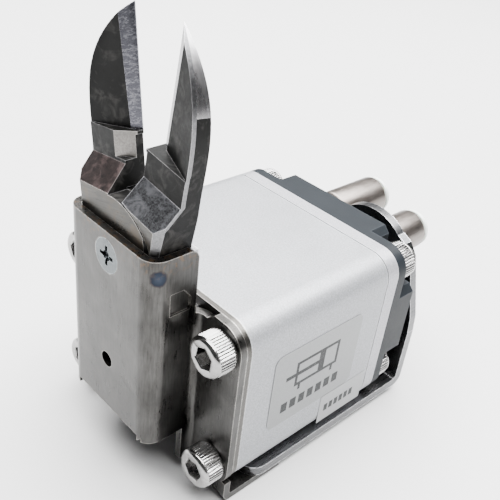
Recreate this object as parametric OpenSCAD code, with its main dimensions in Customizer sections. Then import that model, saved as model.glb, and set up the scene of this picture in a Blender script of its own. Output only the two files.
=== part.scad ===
// Air-powered nipper head: two pivoting cutting blades in a folded steel
// housing, driven by a short double-acting cylinder with a slotted cam plate.
// Units are millimetres, +Z is up (the blades point up), the cylinder axis
// runs along Y and the blades are in front, at -Y.
// The origin is the centre of the four mounting holes on the bracket's
// underside.

/* [Cylinder body] */
// Width of the body block
body_w = 51.5; // [50.5:0.5:54]
// Height of the body block
body_h = 40; // [39.5:0.5:41]
// Length of the body block along the cylinder axis
body_l = 39.6; // [39.2:0.2:42]
// Radius of the block's four long corners
body_r = 5.5; // [3:0.5:5.5]
// Diameter of the cylinder bore
bore_d = 35; // [34:0.5:35]

/* [Blades] */
// Half opening angle of each blade at rest
open_deg = 8.5; // [6:0.5:8.5]
// Height of the closed blade tips above the cylinder axis
tip_z = 70.2; // [66:0.2:72]
// Height of the cutting pivot above the cylinder axis
pivot_z = 26.7; // [26.4:0.1:27]
// Width of one blade shank
blade_w = 10.8; // [9:0.2:10.8]
// Thickness of both blades at the pivot
blade_t = 8.2; // [8:0.1:8.2]
// Thickness of the cutting part
edge_t = 4.1; // [3.4:0.1:4.4]
// Height of the ledge under the cutting edges
ledge_z = 48.6; // [46:0.2:52]

/* [Drive] */
// Stroke of the piston
stroke = 4.8; // [4.2:0.1:4.8]
// Diameter of the piston rod
rod_d = 10; // [9.8:0.1:10]
// Distance of each cam pin from the centre plane with the blades closed
pin_x = 7; // [6.8:0.1:7]

/* [Housing] */
// Sheet thickness of the folded head housing
sheet_t = 1.6; // [1.4:0.1:1.6]
// Outer half width of the head housing
house_hw = 13.5; // [13.5:0.1:14]
// Height of the housing's top edge above the cylinder axis
house_top = 32.4; // [31.5:0.1:33]

/* [Bracket] */
// Sheet thickness of the rear bracket
bracket_t = 2.3; // [2.3:0.1:2.6]
// Mounting hole spacing across the body
mount_x = 29; // [28:1:29]
// Mounting hole spacing along the body
mount_y = 20; // [18:1:20]

/* [Air fittings] */
// Outer diameter of the fitting bodies
fit_d = 10; // [9:0.2:10.2]
// Length of a fitting behind the cover
fit_l = 20.2; // [17:0.2:22]
// Outer diameter of the tube that plugs in
tube_d = 6; // [4:2:6]

/* [Hidden] */
$fn = 64;
axis_z = body_h / 2 + bracket_t;
datum_y = 25;
front_y = -14;
inner_y = front_y + sheet_t;
flange_y = -2.8;
plate_y = -1.2;
blade_y0 = -12.3;
blade_y1 = blade_y0 + blade_t;
edge_y0 = blade_y1 - edge_t;
mid_y = (blade_y0 + blade_y1) / 2;
disc_r = 11.75;
lap_r = 12.1;
gasket_t = 0.3;
head_y1 = 43.3;
cover_y1 = 46;
boss_y1 = 51.2;
screw_x = 21;
screw_z = 14.6;
wall_y = 12;
pin_r = 1.5;
pin_y = -5.9;
piston_y0 = wall_y + 2 + stroke + 0.2;
piston_l = 16.2;
f1 = [-4.5, 13];
f2 = [9, 9.5];
up_y0 = 53.7;
up_y1 = up_y0 + 2.3;
bw = body_w / 2;
bh = body_h / 2;
foot_z = -bh - bracket_t;

// ---------- helpers ----------
// moves a shape from the cylinder-axis frame to the datum frame
module place() translate([0, -datum_y, axis_z]) children();
// round bar along Y
module ybar(r, y0, y1, x = 0, z = 0, fn = 64)
  translate([x, y0, z]) rotate([-90, 0, 0]) cylinder(r = r, h = y1 - y0, $fn = fn);
// cone along Y
module ycone(r0, r1, y0, y1, x = 0, z = 0)
  translate([x, y0, z]) rotate([-90, 0, 0]) cylinder(r1 = r0, r2 = r1, h = y1 - y0, $fn = 64);
// round bar along Z
module zbar(r, z0, z1, x = 0, y = 0)
  translate([x, y, z0]) cylinder(r = r, h = z1 - z0, $fn = 64);
// X-Z outline pushed out along Y
module yext(y0, y1) translate([0, y1, 0]) rotate([90, 0, 0]) linear_extrude(height = y1 - y0) children();
// Y-Z outline pushed out along X
module xext(x0, x1) translate([x0, 0, 0]) rotate([90, 0, 90]) linear_extrude(height = x1 - x0) children();
// rectangle with round corners, made of squares and circles
module rrect(w, h, r) {
  square([w - 2 * r, h], center = true);
  square([w, h - 2 * r], center = true);
  for (i = [-1, 1]) for (j = [-1, 1]) translate([i * (w / 2 - r), j * (h / 2 - r)]) circle(r);
}
module four() for (i = [-1, 1]) for (j = [-1, 1]) translate([i * screw_x, 0, j * screw_z]) children();
// socket-head screw M5: seat at y=0, head towards -Y, shank towards +Y
module cap_screw(len) {
  difference() {
    union() {
      ybar(4.25, -4.6, 0);
      ycone(3.85, 4.25, -5, -4.6);
      ybar(2.5, -0.01, len);
    }
    ybar(4 / sqrt(3), -5.1, -2.5, fn = 6);
  }
}
// countersunk screw along Y, head face at y=0, shank towards +Y
module csk_screw(hr, sr, hd, len, slot) difference() {
  union() { ycone(hr, sr, 0, hd); ybar(sr, hd - 0.01, len); }
  // cross recess: shallow arms and a deeper tapered middle
  for (a = [0, 90]) rotate([0, a, 0]) translate([-slot, -0.5, -0.42]) cube([2 * slot, 1.15, 0.84]);
  ycone(1.1, 0.4, -0.01, 1.4);
}

// ---------- head housing: folded stainless sheet ----------
module house_section() {
  o = house_hw; t = sheet_t; ro = 3.5; ri = ro - t; c = 1.5;
  difference() {
    union() {
      translate([-o, front_y + ro]) square([2 * o, flange_y + t - front_y - ro]);
      translate([-o + ro, front_y]) square([2 * (o - ro), ro + 1]);
      for (i = [-1, 1]) translate([i * (o - ro), front_y + ro]) circle(ro);
      for (i = [-1, 1]) translate([i < 0 ? -bw : o - 0.5, flange_y]) square([bw - o + 0.5, t]);
      for (i = [-1, 1]) translate([i < 0 ? -o - c : o, flange_y - c]) square([c, c + 0.1]);
    }
    translate([-o + t, front_y + ro]) square([2 * (o - t), 20]);
    translate([-o + ro, front_y + t]) square([2 * (o - ro), ro]);
    for (i = [-1, 1]) translate([i * (o - ro), front_y + ro]) circle(ri);
    for (i = [-1, 1]) translate([i * (o + c), flange_y - c]) circle(c);
    // outer radius of the flange fold, on the side facing the plate
    for (i = [-1, 1]) difference() {
      translate([i < 0 ? -o - c : o - t, flange_y - c]) square([c + t, c + t + 1]);
      translate([i * (o + c), flange_y - c]) circle(c + t);
      translate([i < 0 ? -o - c - 9 : o + c, flange_y - c]) square([9, 20]);
    }
  }
}
module house_front_outline() {
  // head part
  difference() {
    translate([-house_hw, -11.1]) square([2 * house_hw, house_top + 11.1]);
    // lower corners of the front, cut on a slant
    for (i = [-1, 1]) translate([i * house_hw, -11.1]) rotate(45) square(4.2, center = true);
  }
  // flanges beside it
  intersection() {
    rrect(body_w, body_h, 5);
    for (i = [-1, 1]) translate([i < 0 ? -bw : house_hw - 2, -bh]) square([bw - house_hw + 2, body_h]);
  }
}
module house_side_outline() {
  // head part: the upper rear edge stands forward of the flange
  difference() {
    translate([front_y - 1, -11.1]) square([flange_y + sheet_t - front_y + 1, house_top + 11.1]);
    translate([-3.6, 18.4]) square([10, 30]);
    difference() { translate([-5.6, house_top - 2]) square([4, 4]); translate([-5.6, house_top - 2]) circle(2); }
  }
  // flange part
  translate([flange_y - 2, -bh]) square([sheet_t + 2.0, body_h]);
}
module head_housing() color([0.55, 0.53, 0.5]) place() {
  difference() {
    intersection() {
      translate([0, 0, -30]) linear_extrude(height = 80) house_section();
      yext(-20, 5) house_front_outline();
      xext(-40, 40) house_side_outline();
    }
    // front plate is a little shorter than the side walls at the bottom
    translate([-house_hw + 3, front_y - 1, -12]) cube([2 * house_hw - 6, 3, 2.4]);
    // gap above the fold of each flange, sloping up to the flange's top edge
    for (i = [-1, 1]) yext(-3.6, 3) mirror([i < 0 ? 1 : 0, 0])
      polygon([[11, 18.4], [16, 18.4], [18.2, 20.2], [18.2, 30], [11, 30]]);
    // shallow pressed marks in the side walls
    for (i = [-1, 1]) xext(i > 0 ? house_hw - 0.45 : -house_hw - 3, i > 0 ? house_hw + 3 : -house_hw + 0.45)
      polygon([[-9.6, 19.9], [-5, 19.9], [-5, 22.7], [-6.6, 24.7], [-9.6, 24.7]]);
    four() ybar(2.75, -4, 1);
    // plain hole in the front and seat of the pivot screw
    ybar(1.7, front_y - 1, -11, 0, 2.8);
    ycone(3.6, 2.05, front_y, inner_y, 0, 27.3);
    ybar(2.05, front_y - 1, inner_y + 1, 0, 27.3);
    ybar(3.6, front_y - 1, front_y, 0, 27.3);
  }
  // two feet folded back under the body
  for (i = [-1, 1]) translate([i * 20.6, 0, 0]) xext(-5, 5) difference() {
    union() {
      translate([flange_y, foot_z - 1.6 + 2.4]) square([1.6, 2.4 + 3.4]);
      translate([flange_y + 2.4, foot_z - 1.6]) square([13.5 - flange_y - 2.4, 1.6]);
      difference() {
        translate([flange_y + 2.4, foot_z - 1.6 + 2.4]) circle(2.4);
        translate([flange_y + 2.4, foot_z - 1.6 + 2.4]) circle(0.8);
        translate([flange_y + 2.4, -40]) square([9, 40]);
        translate([-9, foot_z - 1.6 + 2.4]) square([20, 9]);
      }
    }
    translate([-20, -18.4]) square([50, 30]);
  }
}

// ---------- thin plate between housing and body ----------
module front_plate() color([0.5, 0.49, 0.47]) place() difference() {
  yext(plate_y, 0) rrect(body_w, body_h, body_r);
  four() ybar(2.75, -4, 1);
  translate([-11.7, -3, -2.5]) cube([23.4, 6, 5]);
  ybar(5.6, -3, 1);
  for (i = [-1, 1]) ybar(1.6, -3, 1, i * 8, 14);
}

// ---------- backing plate that carries the pivot ----------
module pivot_plate() color([0.4, 0.4, 0.4]) place() difference() {
  union() {
    translate([-11.7, -4, 2.8]) cube([23.4, 1.6, 28.2]);
    translate([-11.7, -4, 2.8]) cube([23.4, 2.8, 15]);
  }
  ybar(2.5, -5, 1, 0, pivot_z);
  ybar(5.6, -5, 1);
  for (i = [-1, 1]) { ycone(2.8, 1.6, -4, -2.6, i * 8, 14); ybar(1.6, -3, 1, i * 8, 14); }
}
module pivot_plate_screws() color("dimgray") place()
  for (i = [-1, 1]) translate([i * 8, -4, 14]) csk_screw(2.75, 1.5, 1.3, 10, 1.4);

// ---------- pivot ----------
module pivot_pin() color("silver") place() difference() {
  union() { ybar(4, inner_y, -4, 0, pivot_z); ybar(2.5, -4.01, -2.4, 0, pivot_z); }
  ybar(1.75, inner_y - 1, -5.4, 0, 27.3);
}
module pivot_screw() color([0.7, 0.73, 0.76]) place()
  translate([0, front_y, 27.3]) csk_screw(3.5, 1.7, 1.7, 8, 2.1);

// ---------- blades, drawn closed and then opened ----------
// outer outline of a blade as a falling curve from the tip to the shank
function blade_out(z) = let (t = (z - 45) / (tip_z - 45)) -blade_w * (1 - pow(max(t, 0), 3.6));
module blade_outline() polygon(concat(
  [[0, ledge_z - 0.6], [0, tip_z]],
  [for (i = [1 : 20]) let (z = tip_z - (tip_z - 45) * pow(i / 20, 1.7)) [blade_out(z), z]],
  [[-blade_w - 0.2, 40], [-10.75, 34.2], [-11.4, 26], [-11.5, 18], [-11.5, 6], [-9.5, 4],
   [-4, 4], [-4, 15.4], [-0.3, 15.4], [-0.3, ledge_z - 0.6]]));
strip_w = 2;      // strip width at the ledge
strip_k = 0.652;  // slope of the strip
strip_tilt = 0.71;
wedge_a = atan2(edge_t + 0.1 - strip_w * strip_k, 11.6 - strip_w);
module blade_blank() difference() {
  yext(blade_y0, blade_y1) blade_outline();
  // cutting part and shoulder are thinner than the pivot part
  xext(-20, 5) polygon([[-20, 38.7], [blade_y0, 38.7], [edge_y0, 43.2], [edge_y0, 56], [edge_y0 + 1.7, tip_z], [edge_y0 + 1.7, 90], [-20, 90]]);
  // ground strip beside the cutting edge
  translate([0, 0, ledge_z]) linear_extrude(height = 40)
    polygon([[1, blade_y1 + 0.65], [0, blade_y1 - 0.01], [-6, blade_y1 - 0.01 - 6 * strip_k], [-6, -20], [1, -20]]);
  // wedge face, turned a little so that the strip widens towards the tip
  translate([-strip_w, blade_y1 - strip_w * strip_k, ledge_z]) rotate([strip_tilt, 0, wedge_a])
    translate([-13, -20, 0]) cube([18, 20, 40]);
  // ground lead-in from the ledge
  translate([0, edge_y0, ledge_z]) rotate([0, 0, 0]) rotate([28, 0, 0]) translate([-9.6, -20, 0]) cube([11, 20, 8]);
}
// lap: 0 keeps the pivot disc in front, 1 keeps it behind
module blade(lap) difference() {
  union() {
    difference() {
      blade_blank();
      if (lap == 0) ybar(lap_r, mid_y - 0.06, 0, 0, pivot_z, 128);
      else ybar(lap_r, -20, mid_y + 0.06, 0, pivot_z, 128);
    }
    if (lap == 0) ybar(disc_r, blade_y0, mid_y - 0.06, 0, pivot_z, 128);
    else ybar(disc_r, mid_y + 0.06, blade_y1, 0, pivot_z, 128);
  }
  ybar(4.05, -20, 0, 0, pivot_z);
  cam_pin_shape();
  // side edges of the front, eased to clear the bends of the housing
  for (i = lap == 0 ? [0, 1] : [0]) mirror([i, 0, 0])
    linear_extrude(height = 60) polygon([[-12.5, -12.5], [-9.4, -12.5], [-12.5, -9.4]]);
  // ground relief on the inner front edge of the left blade, under its ledge
  if (lap == 0) translate([0, 0, 43.8]) linear_extrude(height = 6) polygon([[-3.6, edge_y0 - 0.2], [0.5, blade_y1 - 1], [0.5, edge_y0 - 0.2]]);
}
module cam_pin_shape()
  translate([-pin_x, pin_y, 0]) rotate([0, open_deg / 2, 0]) translate([0, 0, -1.8]) cylinder(r = pin_r, h = 13, $fn = 64);
module opened(s) translate([0, 0, pivot_z]) rotate([0, s * open_deg, 0]) translate([0, 0, -pivot_z]) children();
module blade_left() color([0.16, 0.15, 0.15]) place() opened(-1) blade(0);
module blade_right() color([0.2, 0.2, 0.21]) place() opened(1) mirror([1, 0, 0]) blade(1);
module cam_pin_left() color("silver") place() opened(-1) cam_pin_shape();
module cam_pin_right() color("silver") place() opened(1) mirror([1, 0, 0]) cam_pin_shape();

// ---------- slotted cam plate on the rod ----------
cam_y0 = pin_y - 1.4;
cam_y1 = 3.2;
rest_x = pin_x * cos(open_deg) - pivot_z * sin(open_deg) + 0.05;
slot_a = atan2(pin_x - rest_x, stroke);
module cam_plate() color([0.45, 0.45, 0.47]) place() difference() {
  union() {
    translate([-10.8, cam_y0, -2]) cube([21.6, cam_y1 - cam_y0, 4]);
    translate([-4.2, cam_y1 - 0.01, -2]) cube([8.4, 5.8, 4]);
  }
  for (i = [0, 1]) mirror([i, 0, 0]) translate([-pin_x, pin_y + stroke, -3]) {
    cylinder(r = pin_r + 0.35, h = 6);
    rotate([0, 0, slot_a]) translate([-pin_r - 0.33, -14, 0]) cube([2 * pin_r + 0.66, 14, 6]);
  }
  zbar(1.5, -5, 5, 0, 6.2);
}
module cam_cross_pin() color("silver") place() zbar(1.5, -4.2, 4.2, 0, 6.2);

// ---------- rod, piston and seals ----------
module piston_rod() color([0.8, 0.8, 0.82]) place() difference() {
  union() {
    ybar(rod_d / 2, cam_y1 + 0.2, piston_y0);
    ybar(3, piston_y0 - 0.01, piston_y0 + piston_l - 1);
  }
  translate([-6, 0, -2]) cube([12, 9.2, 4]);
  zbar(1.5, -6, 6, 0, 6.2);
}
module rod_bush() color([0.72, 0.6, 0.35]) place() difference() {
  ybar(7, 4, 9.6);
  ybar(rod_d / 2 + 0.05, 3, 10);
}
module rod_seal() color([0.08, 0.08, 0.09]) place() difference() {
  ybar(7.5, 9.6, wall_y - 0.1);
  ybar(rod_d / 2 + 0.05, 9, 13);
  ycone(rod_d / 2 + 0.3, 6.4, 10.8, wall_y - 0.09);
}
module piston() color([0.75, 0.76, 0.78]) place() difference() {
  ybar(bore_d / 2 - 0.1, piston_y0, piston_y0 + piston_l);
  ybar(3, 0, 60);
  ybar(6.4, piston_y0 + piston_l - 6, 60);
  for (y = [piston_y0 + 2, piston_y0 + piston_l - 4.6]) difference() { ybar(20, y, y + 2.6); ybar(14.6, y - 1, y + 4); }
  difference() { ybar(20, piston_y0 + 6.6, piston_y0 + 9.6); ybar(16.2, piston_y0 + 5, piston_y0 + 11); }
}
module piston_seals() color([0.07, 0.07, 0.08]) place()
  for (y = [piston_y0 + 2, piston_y0 + piston_l - 4.6]) difference() { ybar(bore_d / 2 - 0.03, y + 0.1, y + 2.5); ybar(14.6, y - 1, y + 4); }
module piston_wear_ring() color([0.85, 0.82, 0.7]) place()
  difference() { ybar(bore_d / 2 - 0.04, piston_y0 + 6.7, piston_y0 + 9.5); ybar(16.2, piston_y0 + 5, piston_y0 + 11); }
module piston_nut() color([0.6, 0.6, 0.6]) place() difference() {
  ybar(10 / sqrt(3), piston_y0 + piston_l - 6, piston_y0 + piston_l - 1, fn = 6);
  ybar(3, 0, 60);
}
module front_bumper() color([0.15, 0.15, 0.16]) place() difference() { ybar(14, wall_y, wall_y + 2); ybar(9, 0, 40); }
module rear_bumper() color([0.15, 0.15, 0.16]) place() difference() { ybar(11, piston_y0 + piston_l + 0.1, 37.3); ybar(7, 0, 60); }

// ---------- cylinder body ----------
module cylinder_body() color([0.8, 0.81, 0.83]) place() difference() {
  yext(0, body_l) rrect(body_w, body_h, body_r);
  ybar(bore_d / 2, wall_y, 60, fn = 128);
  ybar(7, 4, wall_y);
  ybar(7.5, 9.6, wall_y + 1);
  ybar(5.6, -1, 5);
  translate([-11.7, -1, -2.5]) cube([23.4, 4.8, 5]);
  four() { ybar(2.55, -1, 10.8); ybar(2.55, 29, 60); }
  for (i = [-1, 1]) ybar(1.55, -1, 8, i * 8, 14);
  // air passage to the front chamber
  ybar(1.25, wall_y + 1, 60, 22.5, 8);
  translate([14, wall_y + 1.3, 8]) rotate([0, 90, 0]) cylinder(r = 1.25, h = 8.5);
  // relief holes above the mounting threads, and threads of the bracket screws
  for (i = [-1, 1]) for (j = [-1, 1]) zbar(2.5, -bh - 1, -bh + 6, i * mount_x / 2, datum_y + j * mount_y / 2);
  for (i = [-1, 1]) for (y = [17, 25]) zbar(1.55, -bh - 1, -bh + 7, i * screw_x, y);
}
module end_gasket() color([0.1, 0.1, 0.11]) place() difference() {
  yext(body_l, body_l + gasket_t) rrect(body_w - 0.4, body_h - 0.4, body_r - 0.2);
  ybar(bore_d / 2 + 0.5, 30, 60);
  four() ybar(2.75, 30, 60);
  ybar(1.6, 30, 60, 22.5, 8);
}

// ---------- rear head and cover ----------
module rear_head() color([0.84, 0.84, 0.87]) place() difference() {
  union() {
    yext(body_l + gasket_t, head_y1) rrect(body_w, body_h, body_r);
    ybar(bore_d / 2 - 0.05, 37.3, body_l + 1);
  }
  difference() { ybar(20, 37.9, 39.5); ybar(16.2, 37, 40.5); }
  four() ybar(2.75, 30, 60);
  ybar(1.5, 30, 60, f1[0], f1[1]);
  ybar(1.25, 30, 60, 22.5, 8);
}
module head_o_ring() color([0.07, 0.07, 0.08]) place()
  difference() { ybar(bore_d / 2 - 0.02, 38, 39.4); ybar(16.2, 37, 40.5); }
module boss_outline() difference() {
  union() {
    square([32, body_h], center = true);
    square([body_w, 19], center = true);
  }
  for (i = [-1, 1]) for (j = [-1, 1]) {
    translate([i * 16, j * bh]) rotate(45) square(2.2, center = true);
    translate([i * bw, j * 9.5]) rotate(45) square(2.2, center = true);
  }
}
module port_hole(c) ybar(2.55, boss_y1 - 5, 60, c[0], c[1]);
module rear_cover() color([0.25, 0.28, 0.31]) place() difference() {
  union() {
    yext(head_y1, cover_y1) rrect(body_w, body_h, body_r);
    yext(cover_y1 - 0.01, boss_y1) boss_outline();
  }
  four() ybar(2.75, 30, 60);
  port_hole(f1);
  port_hole(f2);
  ybar(1.5, 30, 50, f1[0], f1[1]);
  ybar(1.25, 30, 48, 22.5, 8);
  translate([f2[0], 48, 8]) rotate([0, 90, 0]) cylinder(r = 1.25, h = 14.4);
}
module front_screws() color([0.66, 0.66, 0.66]) place() four() translate([0, flange_y, 0]) cap_screw(12);
module rear_screws() color([0.66, 0.66, 0.66]) place() four() translate([0, cover_y1, 0]) mirror([0, 1, 0]) cap_screw(16);

// ---------- push-in fittings ----------
module port_gaskets() color([0.9, 0.9, 0.86]) place()
  for (c = [f1, f2]) difference() { ybar(3.9, boss_y1, boss_y1 + 0.5, c[0], c[1]); ybar(2.55, 40, 60, c[0], c[1]); }
fy0 = boss_y1 + 0.5;
fy1 = boss_y1 + fit_l;
tr = tube_d / 2 + 0.05;
// stud with its grip ring and a spigot that is also the tube's stop
module fitting_stud(c) translate([c[0], 0, c[1]]) difference() {
  union() {
    ybar(2.5, boss_y1 - 4, fy0 + 1);
    ybar(fit_d / 2 - 0.35, fy0, fy0 + 3.2);
    ybar(tr + 0.9, fy0 + 3.19, fy0 + 5.2);
  }
  ybar(1.3, 40, 60);
}
module fitting(c) translate([c[0], 0, c[1]]) difference() {
  union() {
    ycone(fit_d / 2 - 0.35, fit_d / 2, fy0 + 3.2, fy0 + 3.6);
    ybar(fit_d / 2, fy0 + 3.59, fy1 - 0.4);
    ycone(fit_d / 2, fit_d / 2 - 0.4, fy1 - 0.4, fy1);
  }
  ybar(tr + 0.95, fy0 + 3, fy0 + 5.2);
  ybar(tr, fy0 + 5, 90);
  // seal seat, grip ring seat and collar bore
  ybar(tr + 0.95, fy0 + 11, fy1 + 1);
}
module fitting_1_stud() color([0.72, 0.68, 0.64]) place() fitting_stud(f1);
module fitting_2_stud() color([0.72, 0.68, 0.64]) place() fitting_stud(f2);
module fitting_1_body() color([0.72, 0.68, 0.64]) place() fitting(f1);
module fitting_2_body() color([0.72, 0.68, 0.64]) place() fitting(f2);
module tube_seals() color([0.07, 0.07, 0.08]) place()
  for (c = [f1, f2]) difference() { ybar(tr + 0.93, fy0 + 11.05, fy0 + 13, c[0], c[1]); ybar(tr, 40, 90, c[0], c[1]); }
module grip_rings() color([0.75, 0.75, 0.75]) place()
  for (c = [f1, f2]) difference() { ybar(tr + 0.93, fy0 + 13.1, fy0 + 13.8, c[0], c[1]); ybar(tr + 0.1, 40, 90, c[0], c[1]); }
collar_gap = 0.6;
module collar(c) translate([c[0], 0, c[1]]) difference() {
  union() {
    ybar(tr + 0.88, fy0 + 14.5, fy1 + collar_gap + 0.5);
    ybar(fit_d / 2 - 0.2, fy1 + collar_gap, fy1 + collar_gap + 0.9);
    ycone(fit_d / 2 - 0.2, fit_d / 2 - 0.9, fy1 + collar_gap + 0.89, fy1 + collar_gap + 1.7);
  }
  ybar(tr, 40, 90);
}
module release_collar_1() color([0.92, 0.93, 0.9]) place() collar(f1);
module release_collar_2() color([0.92, 0.93, 0.9]) place() collar(f2);

// ---------- rear bracket: folded L plate ----------
module bracket_base() difference() {
  translate([-26, 4.5]) square([52, up_y1 - 4.5]);
  for (i = [-1, 1]) difference() {
    translate([i < 0 ? -27 : 22, 3.5]) square([5, 5]);
    translate([i * 22, 8.5]) circle(4);
  }
}
module bracket_upright() {
  // full-width lower part
  translate([-26, foot_z]) square([52, -5.5 - foot_z]);
  // rounded ear round the second fitting
  difference() {
    union() {
      translate([f2[0], f2[1] - 0.2]) circle(11.4, $fn = 128);
      polygon([[f2[0] - 11.4, -6], [f2[0] - 11.4, f2[1]], [f2[0] + 8, f2[1] + 8], [19.4, 16.4], [21.6, 13.4], [23.6, 6.2], [25.6, -1.2], [26, -6]]);
    }
    // straight edge that leaves the first fitting free
    translate([-20, -5.5]) square([21.3, 40]);
  }
}
module rear_bracket() color([0.66, 0.67, 0.69]) place() difference() {
  union() {
    intersection() {
      translate([0, 0, foot_z]) linear_extrude(height = bracket_t) bracket_base();
      // outer fold radius
      xext(-30, 30) union() { translate([0, -60]) square([up_y1 - 2.6, 90]); translate([up_y1 - 2.6, foot_z + 2.6]) circle(2.6); }
    }
    intersection() {
      yext(up_y0, up_y1) bracket_upright();
      xext(-30, 30) union() { translate([40, foot_z + 2.6]) square([20, 60]); translate([up_y1 - 2.6, foot_z + 2.6]) circle(2.6); }
    }
    // inner fold radius
    difference() {
      translate([-26, up_y0 - 1.2, foot_z + bracket_t - 0.01]) cube([52, 1.21, 1.21]);
      translate([-30, up_y0 - 1.2, foot_z + bracket_t + 1.2]) rotate([0, 90, 0]) cylinder(r = 1.2, h = 60);
    }
  }
  ybar(fit_d / 2 + 0.6, 50, 60, f2[0], f2[1]);
  for (i = [-1, 1]) for (j = [-1, 1]) zbar(1.65, -40, -10, i * mount_x / 2, datum_y + j * mount_y / 2);
  for (i = [-1, 1]) for (y = [17, 25]) {
    zbar(1.6, -40, -10, i * screw_x, y);
    translate([i * screw_x, y, foot_z]) cylinder(r1 = 3, r2 = 1.6, h = 1.5);
  }
}
module bracket_screws() color([0.6, 0.6, 0.62]) place()
  for (i = [-1, 1]) for (y = [17, 25]) translate([i * screw_x, y, foot_z]) rotate([90, 0, 0]) csk_screw(2.9, 1.5, 1.4, 8, 1.5);

// ---------- blank label and tag on the right side ----------
module label_plate() color([0.78, 0.79, 0.8]) place()
  xext(bw, bw + 0.12) translate([20, 0.4]) rrect(26, 19.4, 2);
module label_tag() color([0.85, 0.86, 0.87]) place()
  xext(bw, bw + 0.1) translate([24, -17.4]) square([14.6, 7.9]);

head_housing();
front_plate();
pivot_plate();
pivot_plate_screws();
pivot_pin();
pivot_screw();
blade_left();
blade_right();
cam_pin_left();
cam_pin_right();
cam_plate();
cam_cross_pin();
piston_rod();
rod_bush();
rod_seal();
piston();
piston_seals();
piston_wear_ring();
piston_nut();
front_bumper();
rear_bumper();
cylinder_body();
end_gasket();
rear_head();
head_o_ring();
rear_cover();
front_screws();
rear_screws();
port_gaskets();
fitting_1_stud();
fitting_2_stud();
fitting_1_body();
fitting_2_body();
tube_seals();
grip_rings();
release_collar_1();
release_collar_2();
rear_bracket();
bracket_screws();
label_plate();
label_tag();
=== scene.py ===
import math
import random
import bpy
import bmesh
from mathutils import Matrix, Vector


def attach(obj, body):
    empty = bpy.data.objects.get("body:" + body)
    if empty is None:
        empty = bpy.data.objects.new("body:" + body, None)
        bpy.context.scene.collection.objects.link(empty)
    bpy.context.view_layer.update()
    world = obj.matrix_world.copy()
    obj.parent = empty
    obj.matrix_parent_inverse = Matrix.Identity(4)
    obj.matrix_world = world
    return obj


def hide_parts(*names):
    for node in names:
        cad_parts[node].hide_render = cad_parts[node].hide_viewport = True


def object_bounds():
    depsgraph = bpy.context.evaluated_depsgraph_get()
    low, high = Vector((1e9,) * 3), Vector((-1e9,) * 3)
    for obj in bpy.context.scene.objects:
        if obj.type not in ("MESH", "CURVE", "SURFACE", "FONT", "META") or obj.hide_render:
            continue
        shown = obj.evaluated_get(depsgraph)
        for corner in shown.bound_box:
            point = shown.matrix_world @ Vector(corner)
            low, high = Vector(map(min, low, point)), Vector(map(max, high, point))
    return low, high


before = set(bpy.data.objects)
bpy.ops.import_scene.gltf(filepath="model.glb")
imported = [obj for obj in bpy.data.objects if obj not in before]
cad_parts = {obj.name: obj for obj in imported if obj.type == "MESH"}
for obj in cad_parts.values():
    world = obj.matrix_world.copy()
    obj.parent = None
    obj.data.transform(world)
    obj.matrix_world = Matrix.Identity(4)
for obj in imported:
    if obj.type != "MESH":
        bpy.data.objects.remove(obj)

cad_lo, cad_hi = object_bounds()
random.seed(7)
MM = 0.001
DY, DZ = -25.0, 22.3          # cylinder-axis frame to the part's frame, mm
PIVOT = Vector((0.0, 0.0, 26.7))
F1, F2 = (-4.5, 13.0), (9.0, 9.5)
BOSS = 51.2


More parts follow.
